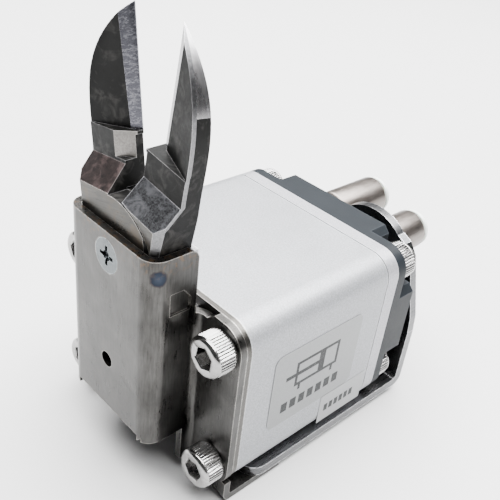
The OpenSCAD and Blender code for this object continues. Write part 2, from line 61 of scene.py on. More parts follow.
# ------------------------------------------------------------------ materials
class Mat:
    """A node material with object coordinates in millimetres."""

    def __init__(self, name):
        self.m = bpy.data.materials.new(name)
        self.m.use_nodes = True
        self.t = self.m.node_tree
        self.t.nodes.clear()
        self.out = self.t.nodes.new("ShaderNodeOutputMaterial")
        self.b = self.t.nodes.new("ShaderNodeBsdfPrincipled")
        self.t.links.new(self.b.outputs[0], self.out.inputs[0])
        self.tc = self.t.nodes.new("ShaderNodeTexCoord")

    def node(self, kind, **kw):
        n = self.t.nodes.new(kind)
        for k, v in kw.items():
            setattr(n, k, v)
        return n

    def link(self, a, b):
        self.t.links.new(a, b)

    def coord(self, scale=(1, 1, 1), rot=(0, 0, 0)):
        r = self.node("ShaderNodeMapping")
        r.inputs["Rotation"].default_value = [math.radians(a) for a in rot]
        r.inputs["Scale"].default_value = (1000, 1000, 1000)
        self.link(self.tc.outputs["Object"], r.inputs["Vector"])
        n = self.node("ShaderNodeMapping")
        n.inputs["Scale"].default_value = scale
        self.link(r.outputs[0], n.inputs["Vector"])
        return n.outputs[0]

    def noise(self, vec, scale, detail=3.0, rough=0.55, dist=0.0):
        n = self.node("ShaderNodeTexNoise")
        n.inputs["Scale"].default_value = scale
        n.inputs["Detail"].default_value = detail
        n.inputs["Roughness"].default_value = rough
        n.inputs["Distortion"].default_value = dist
        self.link(vec, n.inputs["Vector"])
        return n.outputs["Fac"]

    def ramp(self, fac, stops):
        n = self.node("ShaderNodeValToRGB")
        e = n.color_ramp.elements
        while len(e) < len(stops):
            e.new(0.5)
        for k, (p, c) in enumerate(stops):
            e[k].position = p
            e[k].color = tuple(c) + (1.0,) if not isinstance(c, (int, float)) else (c, c, c, 1.0)
        self.link(fac, n.inputs["Fac"])
        return n.outputs["Color"]

    def mix(self, fac, a, b, blend="MIX"):
        n = self.node("ShaderNodeMix", data_type="RGBA", blend_type=blend)
        for sock, v in ((n.inputs[0], fac), (n.inputs[6], a), (n.inputs[7], b)):
            if isinstance(v, (int, float)):
                sock.default_value = v
            elif isinstance(v, (tuple, list)):
                sock.default_value = tuple(v) + (1.0,)
            else:
                self.link(v, sock)
        return n.outputs[2]

    def maths(self, op, a, b=0.0, clamp=False):
        n = self.node("ShaderNodeMath", operation=op, use_clamp=clamp)
        for sock, v in ((n.inputs[0], a), (n.inputs[1], b)):
            if isinstance(v, (int, float)):
                sock.default_value = v
            else:
                self.link(v, sock)
        return n.outputs[0]

    def edge(self, radius_mm=0.35, lo=0.002, hi=0.05):
        """1 on convex and concave edges, 0 on flat faces."""
        bv = self.node("ShaderNodeBevel", samples=6)
        bv.inputs["Radius"].default_value = radius_mm * MM
        g = self.node("ShaderNodeNewGeometry")
        d = self.node("ShaderNodeVectorMath", operation="DOT_PRODUCT")
        self.link(bv.outputs[0], d.inputs[0])
        self.link(g.outputs["Normal"], d.inputs[1])
        inv = self.maths("SUBTRACT", 1.0, d.outputs["Value"])
        n = self.node("ShaderNodeMapRange")
        n.inputs["From Min"].default_value = lo
        n.inputs["From Max"].default_value = hi
        self.link(inv, n.inputs["Value"])
        return n.outputs[0]

    def bump(self, height, strength=0.2, dist_mm=0.02, normal=None):
        n = self.node("ShaderNodeBump")
        n.inputs["Strength"].default_value = strength
        n.inputs["Distance"].default_value = dist_mm * MM
        self.link(height, n.inputs["Height"])
        if normal is not None:
            self.link(normal, n.inputs["Normal"])
        return n.outputs[0]

    def set(self, **kw):
        for k, v in kw.items():
            sock = self.b.inputs[{"color": "Base Color", "rough": "Roughness", "metal": "Metallic",
                                  "normal": "Normal", "spec": "Specular IOR Level", "coat": "Coat Weight",
                                  "coat_rough": "Coat Roughness", "sss": "Subsurface Weight",
                                  "trans": "Transmission Weight", "aniso": "Anisotropic"}[k]]
            if isinstance(v, (int, float)):
                sock.default_value = v
            elif isinstance(v, (tuple, list)):
                sock.default_value = tuple(v) + (1.0,)
            else:
                self.link(v, sock)
        return self


def metal(name, c0, c1, rough=(0.28, 0.42), grain=(1, 1, 1), gscale=2.0, mottle=0.15, edge_wear_highlight_c=None,
          bump=0.25, rot=(0, 0, 0), speck=0.0, metallic=1.0, edge_r=0.35, coat=0.0, stain=None, gmix=0.5, spec=None, fscale=9.0, fspan=(0.72, 1.2)):
    """Metal with a directional grain, slow mottling, fine specks and lighter edges (edge wear plus a painted edge
    highlight).
    """
    m = Mat(name)
    v = m.coord(grain, rot)
    g = m.noise(v, gscale, 4.0, 0.65)
    slow = m.noise(m.coord(), mottle, 3.0, 0.5, 0.4)
    fine = m.noise(m.coord(), fscale, 2.0, 0.6)
    col = m.mix(m.ramp(g, [(0.32, 0.0), (0.68, 1.0)]), c0, c1)
    slow_c = m.ramp(slow, [(0.3, (0.80, 0.80, 0.80)), (0.7, (1.08, 1.08, 1.08))])
    col = m.mix(gmix, col, slow_c, "MULTIPLY")
    if speck:
        col = m.mix(speck, col, m.ramp(fine, [(0.35, (fspan[0],) * 3), (0.65, (fspan[1],) * 3)]), "MULTIPLY")
    if stain is not None:
        patch = m.ramp(m.noise(m.coord(), 0.33, 5.0, 0.62, 0.8), [(0.5, 0.0), (0.66, 1.0)])
        col = m.mix(patch, col, stain)
    # lighter edges: partly edge wear, partly a painted highlight where the edges catch the light
    if edge_wear_highlight_c is not None:
        wear = m.maths("MULTIPLY", m.edge(edge_r), m.ramp(m.noise(m.coord(), 1.1, 4.0), [(0.3, 0.25), (0.6, 1.0)]), True)
        col = m.mix(wear, col, edge_wear_highlight_c)
    rr = m.node("ShaderNodeMapRange")
    rr.inputs["To Min"].default_value, rr.inputs["To Max"].default_value = rough
    rr.inputs["From Min"].default_value, rr.inputs["From Max"].default_value = 0.3, 0.7
    m.link(m.mix(0.45, g, slow), rr.inputs["Value"])
    nrm = m.bump(g, bump, 0.02)
    nrm = m.bump(fine, 0.12, 0.012, nrm)
    m.set(color=col, rough=rr.outputs[0], metal=metallic, normal=nrm)
    if coat:
        m.set(coat=coat, coat_rough=0.25)
    if spec is not None:
        m.set(spec=spec)
    return m.m


def housing_metal():
    """Folded stainless sheet: vertical grain, cloudy polish, a heat-tinted weld spot at each front bend."""
    m = Mat("brushed_stainless")
    g = m.noise(m.coord((1.0, 1.0, 0.10)), 2.6, 4.0, 0.65)
    slow = m.noise(m.coord(), 0.12, 3.0, 0.5, 0.4)
    cloud = m.noise(m.coord((1.0, 1.0, 0.45)), 0.30, 5.0, 0.6, 0.9)
    fine = m.noise(m.coord(), 9.0, 2.0, 0.6)
    col = m.mix(m.ramp(g, [(0.32, 0.0), (0.68, 1.0)]), (0.042, 0.041, 0.0395), (0.066, 0.0645, 0.062))
    col = m.mix(0.8, col, m.ramp(slow, [(0.3, (0.62, 0.62, 0.62)), (0.7, (1.25, 1.25, 1.25))]), "MULTIPLY")
    col = m.mix(0.7, col, m.ramp(cloud, [(0.3, (0.66, 0.65, 0.63)), (0.7, (1.20, 1.20, 1.20))]), "MULTIPLY")
    # lighter edges and bends: partly edge wear, partly a painted highlight where they catch the light
    wear = m.maths("MULTIPLY", m.edge(0.3), m.ramp(m.noise(m.coord(), 1.1, 4.0), [(0.3, 0.35), (0.6, 1.0)]), True)
    col = m.mix(wear, col, (0.26, 0.25, 0.235))
    # heat tint round the two weld spots
    xyz = m.node("ShaderNodeSeparateXYZ")
    m.link(m.coord(), xyz.inputs[0])
    ax = m.maths("ABSOLUTE", xyz.outputs[0])
    d = None
    for sock, c in ((ax, 13.35), (xyz.outputs[1], -12.2 + DY), (xyz.outputs[2], 28.9 + DZ)):
        q = m.maths("SUBTRACT", sock, c)
        q = m.maths("MULTIPLY", q, q)
        d = q if d is None else m.maths("ADD", d, q)
    d = m.maths("SQRT", d)
    d = m.maths("ADD", d, m.maths("MULTIPLY", m.noise(m.coord(), 1.2, 3.0), 0.7))
    spot = m.ramp(m.maths("DIVIDE", d, 4.0), [(0.0, 1.0), (0.44, 1.0), (0.56, 0.0)])
    tint = m.ramp(m.maths("DIVIDE", d, 2.6), [(0.15, (0.026, 0.032, 0.045)), (0.6, (0.014, 0.018, 0.026)), (0.85, (0.022, 0.016, 0.016))])
    col = m.mix(spot, col, tint)
    # brown stains along the top edge of the front
    top = m.ramp(m.maths("DIVIDE", m.maths("SUBTRACT", xyz.outputs[2], 28.5 + DZ), 4.0), [(0.0, 0.0), (1.0, 0.75)])
    st = m.maths("MULTIPLY", top, m.ramp(m.noise(m.coord(), 0.9, 5.0, 0.65), [(0.52, 0.0), (0.62, 1.0)]))
    col = m.mix(st, col, (0.10, 0.062, 0.036))
    rr = m.node("ShaderNodeMapRange")
    rr.inputs["To Min"].default_value, rr.inputs["To Max"].default_value = (0.22, 0.40)
    rr.inputs["From Min"].default_value, rr.inputs["From Max"].default_value = 0.3, 0.7
    m.link(m.mix(0.55, g, cloud), rr.inputs["Value"])
    nrm = m.bump(slow, 0.35, 0.35)
    nrm = m.bump(g, 0.22, 0.02, nrm)
    nrm = m.bump(fine, 0.12, 0.012, nrm)
    m.set(color=col, rough=rr.outputs[0], metal=1.0, normal=nrm)
    return m.m


def streaked(name):
    """Ground steel with slanting grinding marks of mixed width."""
    m = Mat(name)
    g = m.noise(m.coord((0.12, 2.2, 4.5), (0, 22, 0)), 1.5, 5.0, 0.7)
    wide = m.noise(m.coord((0.02, 1.6, 2.6), (0, 22, 0)), 1.0, 3.0, 0.6)
    slow = m.noise(m.coord(), 0.2, 3.0)
    col = m.mix(m.ramp(g, [(0.3, 0.0), (0.7, 1.0)]), (0.052, 0.052, 0.061), (0.10, 0.10, 0.115))
    col = m.mix(m.ramp(wide, [(0.52, 0.0), (0.6, 0.85), (0.66, 0.0)]), col, (0.20, 0.20, 0.22))
    col = m.mix(0.6, col, m.ramp(slow, [(0.3, (0.75, 0.75, 0.75)), (0.7, (1.15, 1.15, 1.15))]), "MULTIPLY")
    # painted highlight: edges coloured near white where they catch the light
    col = m.mix(m.maths("MULTIPLY", m.edge(0.14), 0.8), col, (0.72, 0.72, 0.76))
    rr = m.node("ShaderNodeMapRange")
    rr.inputs["To Min"].default_value, rr.inputs["To Max"].default_value = (0.20, 0.36)
    m.link(g, rr.inputs["Value"])
    m.set(color=col, rough=rr.outputs[0], metal=1.0, normal=m.bump(g, 0.4, 0.03))
    return m.m


M = {}
M["alu"] = metal("blasted_aluminium", (0.2368, 0.2439, 0.2582), (0.2937, 0.3007, 0.3149), (0.40, 0.50), gscale=3.2,
                 speck=0.45, bump=0.2, edge_wear_highlight_c=(0.50, 0.51, 0.53), metallic=0.5, gmix=0.22, fscale=3.0, fspan=(0.62, 1.3))
M["alu_light"] = metal("light_aluminium", (0.2746, 0.2746, 0.2983), (0.3485, 0.3485, 0.3696), (0.38, 0.48), gscale=3.2,
                       speck=0.45, bump=0.2, edge_wear_highlight_c=(0.55, 0.55, 0.58), metallic=0.5, gmix=0.22, fscale=3.0, fspan=(0.62, 1.3))
M["cover"] = metal("slate_cover", (0.006237, 0.008019, 0.0101), (0.00891, 0.01099, 0.01337), (0.42, 0.55), gscale=2.5,
                   speck=0.4, bump=0.3, edge_wear_highlight_c=(0.03, 0.034, 0.04), metallic=0.0, gmix=0.4, spec=0.12)
M["sheet"] = housing_metal()
M["sheet_flat"] = metal("brushed_plate", (0.04896, 0.04692, 0.04284), (0.08568, 0.0816, 0.07548), (0.26, 0.40), grain=(0.05, 1.0, 1.0),
                        gscale=2.2, bump=0.22, edge_wear_highlight_c=(0.30, 0.29, 0.275), gmix=0.7)
M["bracket"] = metal("bracket_stainless", (0.1013, 0.103, 0.1063), (0.1485, 0.1502, 0.1552), (0.22, 0.36), grain=(1.0, 0.05, 1.0),
                     gscale=2.4, bump=0.22, edge_wear_highlight_c=(0.80, 0.80, 0.82), gmix=0.7)
M["screw"] = metal("screw_steel", (0.2375, 0.2327, 0.228), (0.361, 0.3562, 0.3515), (0.14, 0.28), gscale=1.6, bump=0.2,
                   edge_wear_highlight_c=(0.85, 0.85, 0.85), edge_r=0.12, gmix=0.8, mottle=0.35)
M["screw_dark"] = metal("socket_steel", (0.247, 0.2422, 0.2375), (0.399, 0.3942, 0.3895), (0.18, 0.34), gscale=1.6, bump=0.2,
                        edge_wear_highlight_c=(0.8, 0.8, 0.8), edge_r=0.15)
M["zinc"] = metal("zinc_screw", (0.066, 0.0748, 0.0792), (0.11, 0.1232, 0.1276), (0.24, 0.38), gscale=1.4, bump=0.2,
                  edge_wear_highlight_c=(0.34, 0.37, 0.38), edge_r=0.12, gmix=0.8, mottle=0.5)
M["nickel"] = metal("nickel_fitting", (0.1497, 0.1313, 0.1183), (0.2029, 0.1811, 0.1666), (0.30, 0.42), grain=(1, 0.2, 1), gscale=1.5,
                    bump=0.1, edge_wear_highlight_c=(0.8, 0.74, 0.68), edge_r=0.2, gmix=0.5)
M["oxide"] = metal("blade_black", (0.001296, 0.001339, 0.001253), (0.002916, 0.002916, 0.0027), (0.38, 0.6), gscale=1.2, speck=0.9,
                   bump=0.7, edge_wear_highlight_c=(0.12, 0.118, 0.12), edge_r=0.2, metallic=0.0, gmix=0.6, stain=(0.020, 0.019, 0.018), spec=0.10)
M["oxide_scuffed"] = metal("blade_scuffed", (0.009828, 0.009828, 0.01092), (0.06552, 0.0666, 0.07098), (0.35, 0.55), gscale=2.6, speck=0.9,
                           bump=0.7, edge_wear_highlight_c=(0.34, 0.34, 0.36), edge_r=0.3, metallic=0.7, gmix=0.6,
                           stain=(0.085, 0.086, 0.093), spec=0.2)
M["oxide_brown"] = metal("blade_brown", (0.0081, 0.006075, 0.006075), (0.0243, 0.01688, 0.0162), (0.38, 0.55), gscale=1.3, speck=0.8,
                         bump=0.5, edge_wear_highlight_c=(0.20, 0.17, 0.165), edge_r=0.3, metallic=0.5, stain=(0.055, 0.038, 0.037), spec=0.3)
M["ground_side"] = metal("blade_side_polish", (0.22, 0.2145, 0.22), (0.374, 0.3685, 0.374), (0.22, 0.34), grain=(0.3, 1.0, 0.3), gscale=0.8,
                         bump=0.15, edge_wear_highlight_c=(0.55, 0.55, 0.56), edge_r=0.15, gmix=0.5)
M["ground"] = streaked("blade_ground")
M["ground_base"] = metal("blade_base", (0.02803, 0.02681, 0.02438), (0.05727, 0.05486, 0.04995), (0.24, 0.38), grain=(0.08, 1.0, 1.0),
                         gscale=2.4, bump=0.3, edge_wear_highlight_c=(0.5, 0.48, 0.45), edge_r=0.18, rot=(0, 14, 0),
                         stain=(0.055, 0.045, 0.034), gmix=0.8)
M["chamfer"] = metal("blade_chamfer", (0.104, 0.104, 0.1064), (0.176, 0.176, 0.1816), (0.26, 0.42), gscale=2.0, speck=0.5,
                     bump=0.3, edge_wear_highlight_c=(0.35, 0.35, 0.36), edge_r=0.15)
M["relief"] = metal("blade_relief", (0.14, 0.133, 0.1225), (0.238, 0.2275, 0.217), (0.3, 0.45), gscale=2.6, speck=0.6,
                    bump=0.4, edge_wear_highlight_c=(0.5, 0.48, 0.46), edge_r=0.2)
M["inner"] = metal("inner_steel", (0.26, 0.26, 0.27), (0.42, 0.42, 0.43), (0.25, 0.4), gscale=1.3, bump=0.2,
                   edge_wear_highlight_c=(0.66, 0.66, 0.66))
M["bronze"] = metal("sintered_bronze", (0.42, 0.28, 0.12), (0.56, 0.4, 0.2), (0.35, 0.5), gscale=3, speck=0.6, bump=0.3)


def plastic(name, c0, c1, rough, trans=0.0, sss=0.0, bump=0.15):
    m = Mat(name)
    n = m.noise(m.coord(), 1.2, 3.0)
    f = m.noise(m.coord(), 7.0, 2.0)
    col = m.mix(m.ramp(n, [(0.3, 0.0), (0.7, 1.0)]), c0, c1)
    rr = m.node("ShaderNodeMapRange")
    rr.inputs["To Min"].default_value, rr.inputs["To Max"].default_value = rough
    m.link(n, rr.inputs["Value"])
    m.set(color=col, rough=rr.outputs[0], normal=m.bump(f, bump, 0.01), trans=trans, sss=sss)
    m.b.inputs["Subsurface Radius"].default_value = (0.0012, 0.0012, 0.001)
    m.b.inputs["Subsurface Scale"].default_value = 1.0
    return m.m


M["collar"] = plastic("collar_plastic", (0.66, 0.69, 0.66), (0.76, 0.79, 0.75), (0.28, 0.4), trans=0.12, sss=0.25)
M["rubber"] = plastic("seal_rubber", (0.012, 0.012, 0.013), (0.03, 0.03, 0.032), (0.5, 0.7), bump=0.3)
M["gasket"] = plastic("joint_gasket", (0.02, 0.021, 0.024), (0.045, 0.047, 0.05), (0.5, 0.7), bump=0.3)


def label_mat(name, base, base2, bars):
    """Silver film with a few plain printed bars, no lettering."""
    m = Mat(name)
    f = m.noise(m.coord(), 4.0, 3.0)
    col = m.mix(m.ramp(f, [(0.3, 0.0), (0.7, 1.0)]), base, base2)
    co = m.node("ShaderNodeSeparateXYZ")
    m.link(m.coord(), co.inputs[0])
    mask = None
    for (y0, y1, z0, z1) in bars:
        r = None
        for sock, lo, hi in ((co.outputs[1], y0, y1), (co.outputs[2], z0, z1)):
            a = m.maths("GREATER_THAN", sock, lo)
            b = m.maths("LESS_THAN", sock, hi)
            ab = m.maths("MULTIPLY", a, b)
            r = ab if r is None else m.maths("MULTIPLY", r, ab)
        mask = r if mask is None else m.maths("MAXIMUM", mask, r)
    if mask is not None:
        wear = m.ramp(m.noise(m.coord(), 2.5, 4.0), [(0.30, 0.85), (0.5, 1.0)])
        col = m.mix(m.maths("MULTIPLY", mask, wear), col, (0.006, 0.0065, 0.0075))
    rr = m.node("ShaderNodeMapRange")
    rr.inputs["To Min"].default_value, rr.inputs["To Max"].default_value = (0.26, 0.4)
    m.link(f, rr.inputs["Value"])
    m.set(color=col, rough=rr.outputs[0], metal=m.maths("MULTIPLY", m.maths("SUBTRACT", 1.0, mask), 0.45), spec=0.12,
          normal=m.bump(f, 0.1, 0.01))
    return m.m


# a generic double-acting cylinder sign: barrel outline, piston and rod
def bar_set():
    oy, oz = 20.0 + DY, 0.4 + DZ
    t = 0.75
    s = []
    y0, y1, z0, z1 = oy - 6.5, oy + 6.5, oz - 0.8, oz + 5.6
    s += [(y0, y1, z0, z0 + t), (y0, y1, z1 - t, z1), (y0, y0 + t, z0, z1), (y1 - t, y1, z0, z1)]
    s += [(oy + 0.4, oy + 2.2, z0, z1), (oy - 9.2, oy + 0.6, (z0 + z1) / 2 - 0.5, (z0 + z1) / 2 + 0.5)]
    s += [(y0 + 1.2, y0 + 1.2 + t, z0 - 1.4, z0), (y1 - 2.0, y1 - 2.0 + t, z0 - 1.4, z0)]
    s += [(oy - 9.5 + 2.6 * k, oy - 9.5 + 2.6 * k + 1.8, oz - 6.6, oz - 4.1) for k in range(7)]
    return s


M["label"] = label_mat("label_film", (0.185, 0.19, 0.192), (0.225, 0.23, 0.233), bar_set())
M["tag"] = label_mat("tag_film", (0.25, 0.254, 0.258), (0.29, 0.294, 0.298),
                     [(25.6 + 1.7 * k + DY, 26.8 + 1.7 * k + DY, -14.6 + DZ, -12.6 + DZ) for k in range(6)])


# ------------------------------------------------------------------ helpers
def give(obj, mat):
    obj.data.materials.clear()
    obj.data.materials.append(mat)
    return obj


def bevel(obj, width, segments=2, angle=32, dissolve=True):
    if dissolve:
        d = obj.modifiers.new("planar", "DECIMATE")
        d.decimate_type = "DISSOLVE"
        d.angle_limit = math.radians(1.0)
    b = obj.modifiers.new("soft_edges", "BEVEL")
    b.width = width * MM
    b.segments = segments
    b.limit_method = "ANGLE"
    b.angle_limit = math.radians(angle)
    b.use_clamp_overlap = True
    b.harden_normals = True
    return obj


def add_mesh(name, verts, faces, mats, idx=None, smooth=True, body="cylinder"):
    me = bpy.data.meshes.new(name)
    me.from_pydata([((x) * MM, (y + DY) * MM, (z + DZ) * MM) for x, y, z in verts], [], faces)
    me.validate()
    for m in mats:
        me.materials.append(m)
    if idx:
        me.polygons.foreach_set("material_index", idx)
    bm = bmesh.new()
    bm.from_mesh(me)
    bmesh.ops.remove_doubles(bm, verts=bm.verts, dist=1e-7)
    bmesh.ops.recalc_face_normals(bm, faces=bm.faces)
    bm.to_mesh(me)
    bm.free()
    ob = bpy.data.objects.new(name, me)
    bpy.context.collection.objects.link(ob)
    if smooth:
        me.polygons.foreach_set("use_smooth", [True] * len(me.polygons))
        me.set_sharp_from_angle(angle=math.radians(28))
    return ob


def lathe(rings, n, cx, cz, sign=1.0):
    """Rings of (y, radius or function of the angle, material). Closed at both ends when the radius is 0."""
    verts, faces, idx = [], [], []
    prev = None
    for (y, r, mi) in rings:
        fn = r if callable(r) else (lambda a, r=r: r)
        if not callable(r) and r <= 1e-9:
            verts.append((cx, y, cz))
            cur = [len(verts) - 1] * n
        else:
            cur = []
            for k in range(n):
                a = 2 * math.pi * k / n
                q = fn(a)
                verts.append((cx + q * math.cos(a), y, cz + q * math.sin(a)))
                cur.append(len(verts) - 1)
        if prev is not None:
            for k in range(n):
                j = (k + 1) % n
                loop = []
                for v in (prev[k], prev[j], cur[j], cur[k]):
                    if v not in loop:
                        loop.append(v)
                if len(loop) >= 3:
                    faces.append(loop)
                    idx.append(mi)
        prev = cur
    return verts, faces, idx


def join(parts):
    V, Fc, I = [], [], []
    for v, f, i in parts:
        o = len(V)
        V += v
        Fc += [[q + o for q in face] for face in f]
        I += i
    return V, Fc, I


# ------------------------------------------------------------------ socket-head screws
def cap_screw(cx, cz, seat, sign, length, turn):
    """sign -1: head towards -Y."""
    teeth, n = 44, 44 * 6

    def knurl(base, depth):
        def fn(a):
            t = (a * teeth / (2 * math.pi)) % 1.0
            return base - depth * (0.5 + 0.5 * math.cos(2 * math.pi * t)) ** 1.6
        return fn

    def hexr(af):
        def fn(a):
            b = (a + turn) % (math.pi / 3)
            return af / 2 / math.cos(b - math.pi / 6)
        return fn

    h = 5.0
    r = [(-h + 4.2, 0.0, 1),
         (-h + 3.0, hexr(3.6), 1), (-h + 2.9, hexr(3.98), 1), (-h + 0.32, hexr(4.0), 1), (-h + 0.06, hexr(4.35), 0), (-h, hexr(4.6), 0),
         (-h, 3.45, 0), (-h + 0.05, 3.62, 0), (-h + 0.42, 4.05, 0), (-h + 0.6, 4.16, 0), (-h + 0.85, 4.18, 0),
         (-h + 0.95, knurl(4.16, 0.06), 0), (-h + 1.25, knurl(4.25, 0.20), 0), (-0.75, knurl(4.25, 0.20), 0),
         (-0.4, knurl(4.18, 0.06), 0), (-0.3, 4.12, 0), (-0.1, 4.1, 0), (0.0, 4.0, 0),
         (0.0, 2.6, 0), (0.1, 2.5, 0), (length - 0.5, 2.5, 0), (length, 2.0, 0), (length, 0.0, 0)]
    rings = [(seat - sign * y, q, m) for (y, q, m) in r]
    return lathe(rings, n, cx, cz)


def screws(name, seat, sign, length, node):
    parts = []
    for k, (i, j) in enumerate(((-1, -1), (-1, 1), (1, -1), (1, 1))):
        parts.append(cap_screw(i * 21.0, j * 14.6, seat, sign, length, 0.35 + 0.8 * k))
    v, f, i = join(parts)
    ob = add_mesh(name, v, f, [M["screw"], M["screw_dark"]], i)
    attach(ob, "cylinder")
    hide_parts(node)
    return ob


screws("front_cap_screws", -2.8, -1, 12, "front_screws")
screws("rear_cap_screws", 46.0, 1, 16, "rear_screws")


# ------------------------------------------------------------------ air fittings
def fitting(name, c, node):
    y0, y1 = BOSS + 0.5, BOSS + 20.2
    r = [(y0 + 3.2, 4.0, 0), (y0 + 3.2, 4.45, 0), (y0 + 3.35, 4.5, 0), (y0 + 3.5, 4.75, 0), (y0 + 3.75, 4.95, 0), (y0 + 4.0, 5.0, 0),
         (y1 - 0.5, 5.0, 0), (y1 - 0.22, 4.95, 0), (y1 - 0.05, 4.8, 0), (y1, 4.6, 0), (y1, 4.02, 0),
         (y1 - 0.1, 3.98, 0), (y0 + 11, 3.98, 0), (y0 + 11, 3.05, 0), (y0 + 5.2, 3.05, 0), (y0 + 5.2, 4.0, 0), (y0 + 3.2, 4.0, 0)]
    n = 120
    v, f, i = lathe(r, n, c[0], c[1])
    ob = add_mesh(name, v, f, [M["nickel"]], i)
    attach(ob, "cylinder")
    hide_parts(node)


def stud(name, c, node):
    y0 = BOSS + 0.5
    teeth, n = 40, 240

    def knurl(base, depth):
        return lambda a: base - depth * (0.5 + 0.5 * math.cos(a * teeth)) ** 1.3

    r = [(BOSS - 4, 1.3, 0), (BOSS - 4, 2.3, 0), (BOSS - 3.7, 2.5, 0), (y0, 2.5, 0), (y0, 4.3, 0), (y0 + 0.25, 4.55, 0),
         (y0 + 0.6, 4.6, 0), (y0 + 0.7, 4.35, 0), (y0 + 0.95, 4.35, 0), (y0 + 1.05, knurl(4.64, 0.02), 0),
         (y0 + 1.2, knurl(4.65, 0.2), 0), (y0 + 2.75, knurl(4.65, 0.2), 0), (y0 + 2.95, knurl(4.6, 0.02), 0),
         (y0 + 3.05, 4.4, 0), (y0 + 3.2, 4.4, 0), (y0 + 3.2, 3.95, 0), (y0 + 5.2, 3.95, 0), (y0 + 5.2, 1.3, 0), (BOSS - 4, 1.3, 0)]
    v, f, i = lathe(r, n, c[0], c[1])
    ob = add_mesh(name, v, f, [M["nickel"]], i)
    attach(ob, "cylinder")
    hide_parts(node)


def collar(name, c, node, body):
    y0, y1 = BOSS + 0.5, BOSS + 20.2 + 0.6
    r = [(y0 + 14.5, 3.05, 0), (y0 + 14.5, 3.9, 0), (y1 + 0.02, 3.9, 0), (y1 + 0.02, 4.6, 0), (y1 + 0.1, 4.74, 0), (y1 + 0.25, 4.8, 0),
         (y1 + 0.85, 4.8, 0), (y1 + 1.1, 4.66, 0), (y1 + 1.5, 4.25, 0), (y1 + 1.65, 4.0, 0), (y1 + 1.7, 3.8, 0),
         (y1 + 1.7, 3.5, 0), (y1 + 1.55, 3.25, 0), (y1 + 1.2, 3.07, 0), (y0 + 14.5, 3.05, 0)]
    v, f, i = lathe(r, 96, c[0], c[1])
    ob = add_mesh(name, v, f, [M["collar"]], i)
    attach(ob, body)
    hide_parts(node)


stud("fitting_stud_1", F1, "fitting_1_stud")
stud("fitting_stud_2", F2, "fitting_2_stud")
fitting("fitting_shell_1", F1, "fitting_1_body")
fitting("fitting_shell_2", F2, "fitting_2_body")
collar("collar_ring_1", F1, "release_collar_1", "collar_1")
collar("collar_ring_2", F2, "release_collar_2", "collar_2")


# ------------------------------------------------------------------ blades
def to_closed(p, side):
    """A point of a blade at rest, in mm, back in its closed drawing position with its outer side at -X."""
    q = Vector((p.x / MM, p.y / MM - DY, p.z / MM - DZ))
    if side > 0:
        q.x = -q.x
    a = math.radians(8.5)
    d = q - PIVOT
    return Vector((d.x * math.cos(a) + d.z * math.sin(a), q.y, -d.x * math.sin(a) + d.z * math.cos(a))) + PIVOT


def dir_closed(n, side):
    a = math.radians(8.5)
    x = -n.x if side > 0 else n.x
    return Vector((x * math.cos(a) + n.z * math.sin(a), n.y, -x * math.sin(a) + n.z * math.cos(a)))


SIDE_Z, SIDE_S = 59.0, 0.1     # where the reground tip of the outer side ends, and its slope
WEDGE_Y, WEDGE_A, WEDGE_B = -5.404, 0.3017, -0.01297
RIDGE_HIGHLIGHT_BAND = 0.85                    # eased band behind the outer front edge, coloured lighter as a painted highlight of the lit ridge
